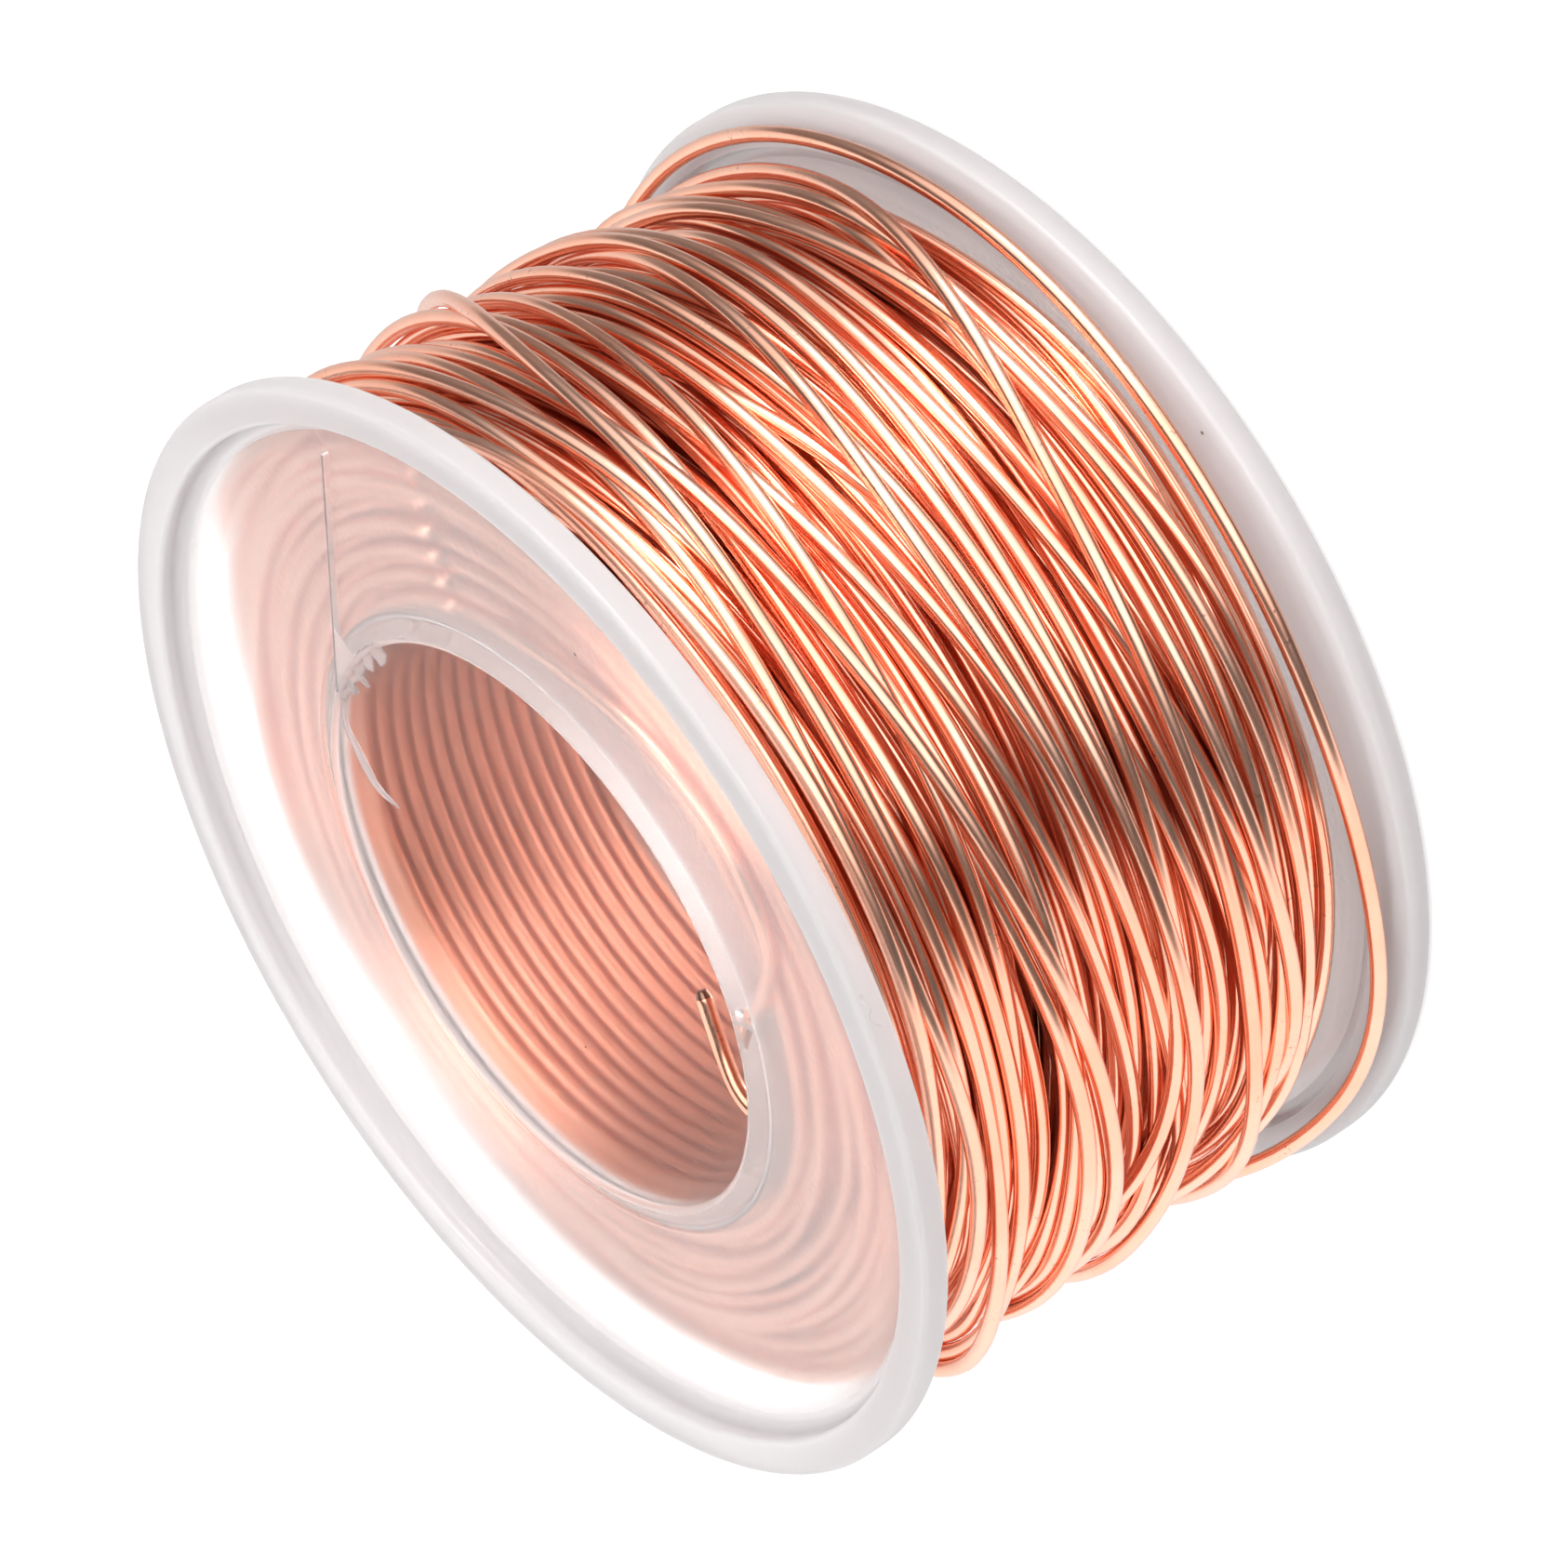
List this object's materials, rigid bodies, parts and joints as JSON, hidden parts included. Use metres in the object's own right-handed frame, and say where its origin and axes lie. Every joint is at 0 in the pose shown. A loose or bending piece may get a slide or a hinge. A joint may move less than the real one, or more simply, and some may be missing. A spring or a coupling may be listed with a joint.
{
  "type": "wire spool",
  "caption": "Hollow translucent plastic spool with two raised-rim flanges, wound full of bare soft copper wire.",
  "frame": {"origin": "centre of the rear flange's rim plane, on the bore axis", "axes": "+Z along the bore axis from the rear flange to the front flange; the hole for the wire start is in the -X, -Y quarter under the front flange"},
  "size_m": [0.072, 0.072, 0.039],
  "materials": {
    "frosted_plastic": "frosted translucent",
    "bare_copper": "bright drawn bare copper"
  },
  "bodies": {
    "root": {"front_half": "frosted_plastic", "rear_half": "frosted_plastic", "wire_start": "bare_copper", "layer_01": "bare_copper", "layer_02": "bare_copper", "layer_03": "bare_copper", "layer_04": "bare_copper", "layer_05": "bare_copper", "layer_06": "bare_copper", "layer_07": "bare_copper", "layer_08": "bare_copper", "layer_09": "bare_copper", "layer_10": "bare_copper", "layer_11": "bare_copper", "layer_12": "bare_copper", "layer_13": "bare_copper", "wire_finish": "bare_copper"}
  },
  "joints": []
}
